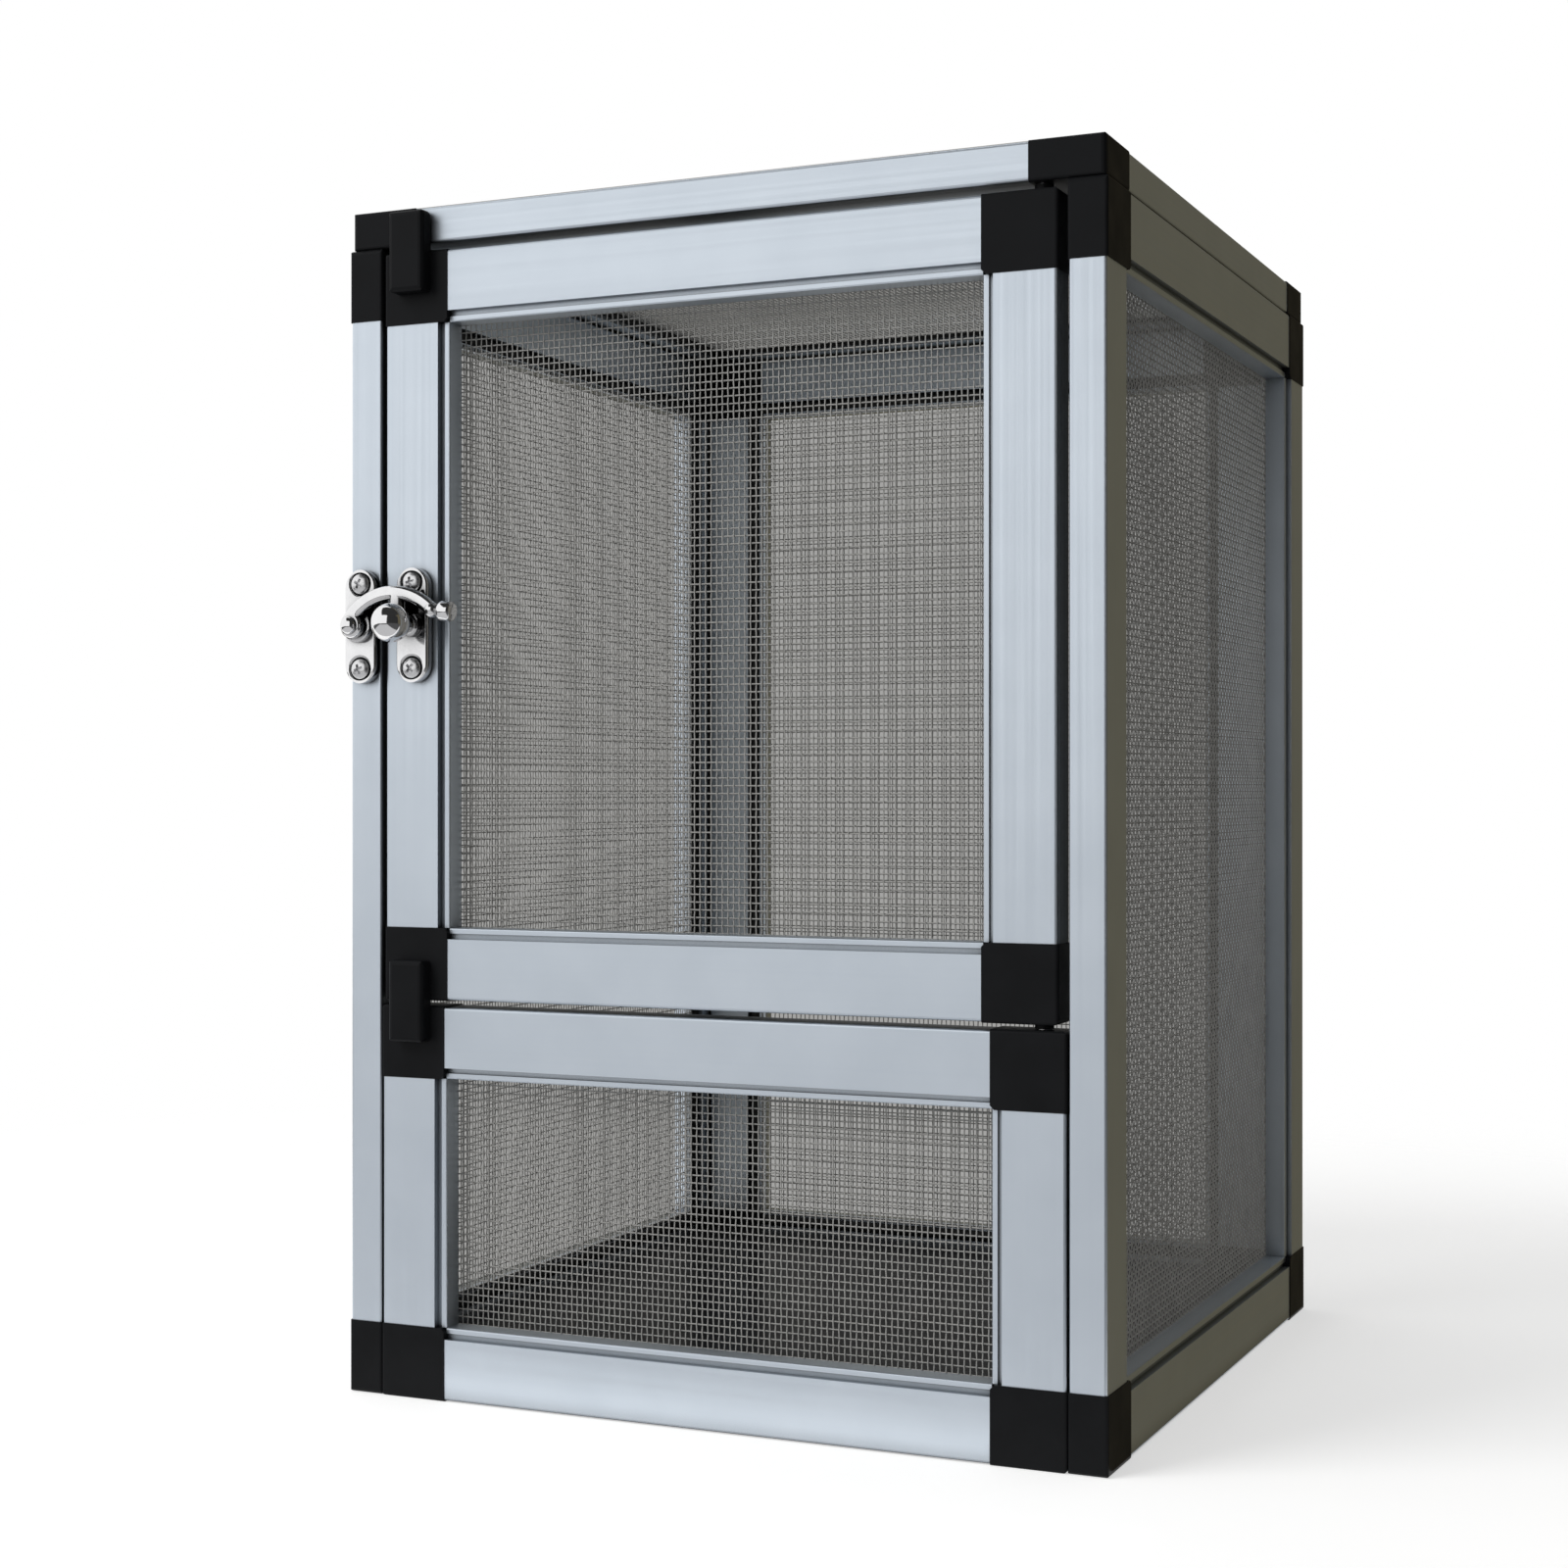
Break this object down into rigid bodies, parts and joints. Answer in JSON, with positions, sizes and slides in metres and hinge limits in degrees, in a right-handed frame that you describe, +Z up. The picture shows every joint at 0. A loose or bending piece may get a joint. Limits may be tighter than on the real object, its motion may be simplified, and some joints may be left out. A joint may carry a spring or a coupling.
{
  "type": "mesh reptile cage",
  "caption": "Upright mesh reptile cage of aluminium rails and black corner keys, with a swinging front door, a swing-hook latch, a fixed lower panel and a floor board.",
  "frame": {"origin": "on the ground, under the middle of the overall box, latch included", "axes": "+X to the right seen from the front, +Y from the front to the back, +Z up"},
  "size_m": [0.2, 0.2168, 0.3],
  "materials": {
    "rail_aluminium": "satin anodised",
    "key_plastic": "moulded",
    "mesh_wire": "woven wire",
    "spline_rubber": "matte",
    "board_plastic": "gloss",
    "dowel_plastic": "natural",
    "latch_chrome": "polished",
    "steel": "plated"
  },
  "bodies": {
    "frame": {"left_side_bottom_rail": "rail_aluminium", "left_side_front_stile": "rail_aluminium", "left_side_top_rail": "rail_aluminium", "left_side_rear_stile": "rail_aluminium", "right_side_bottom_rail": "rail_aluminium", "right_side_rear_stile": "rail_aluminium", "right_side_top_rail": "rail_aluminium", "right_side_front_stile": "rail_aluminium", "back_bottom_rail": "rail_aluminium", "back_left_stile": "rail_aluminium", "back_top_rail": "rail_aluminium", "back_right_stile": "rail_aluminium", "top_front_rail": "rail_aluminium", "top_right_rail": "rail_aluminium", "top_rear_rail": "rail_aluminium", "top_left_rail": "rail_aluminium", "base_rear_rail": "rail_aluminium", "base_right_rail": "rail_aluminium", "base_front_rail": "rail_aluminium", "base_left_rail": "rail_aluminium", "lower_front_bottom_rail": "rail_aluminium", "lower_front_right_stile": "rail_aluminium", "lower_front_top_rail": "rail_aluminium", "lower_front_left_stile": "rail_aluminium", "left_side_corner_keys": "key_plastic", "right_side_corner_keys": "key_plastic", "back_corner_keys": "key_plastic", "top_corner_keys": "key_plastic", "base_corner_keys": "key_plastic", "lower_front_corner_keys": "key_plastic", "left_side_mesh": "mesh_wire", "right_side_mesh": "mesh_wire", "back_mesh": "mesh_wire", "top_mesh": "mesh_wire", "lower_front_mesh": "mesh_wire", "left_side_spline": "spline_rubber", "right_side_spline": "spline_rubber", "back_spline": "spline_rubber", "top_spline": "spline_rubber", "lower_front_spline": "spline_rubber", "floor_board": "board_plastic", "corner_dowels": "dowel_plastic", "door_pivot_pins": "steel", "latch_hook_plate": "latch_chrome", "latch_rivet": "latch_chrome", "latch_frame_screws": "steel"},
    "door": {"door_bottom_rail": "rail_aluminium", "door_hinge_stile": "rail_aluminium", "door_top_rail": "rail_aluminium", "door_latch_stile": "rail_aluminium", "door_hinge_keys": "key_plastic", "door_stop_keys": "key_plastic", "door_mesh": "mesh_wire", "door_spline": "spline_rubber", "latch_catch_plate": "latch_chrome", "latch_catch_post": "latch_chrome", "latch_door_screws": "steel"},
    "latch_hook": {"latch_hook": "latch_chrome"}
  },
  "joints": [
    {"name": "door_hinge", "type": "hinge", "parent": "frame", "child": "door", "pos_m": [0.08367, -0.08682, 0.19455], "axis": [0, 0, 1], "range_deg": [0, 105]},
    {"name": "hook_pivot", "type": "hinge", "parent": "frame", "child": "latch_hook", "pos_m": [-0.0954, -0.09753, 0.19455], "axis": [0, -1, 0], "range_deg": [0, 100]}
  ]
}
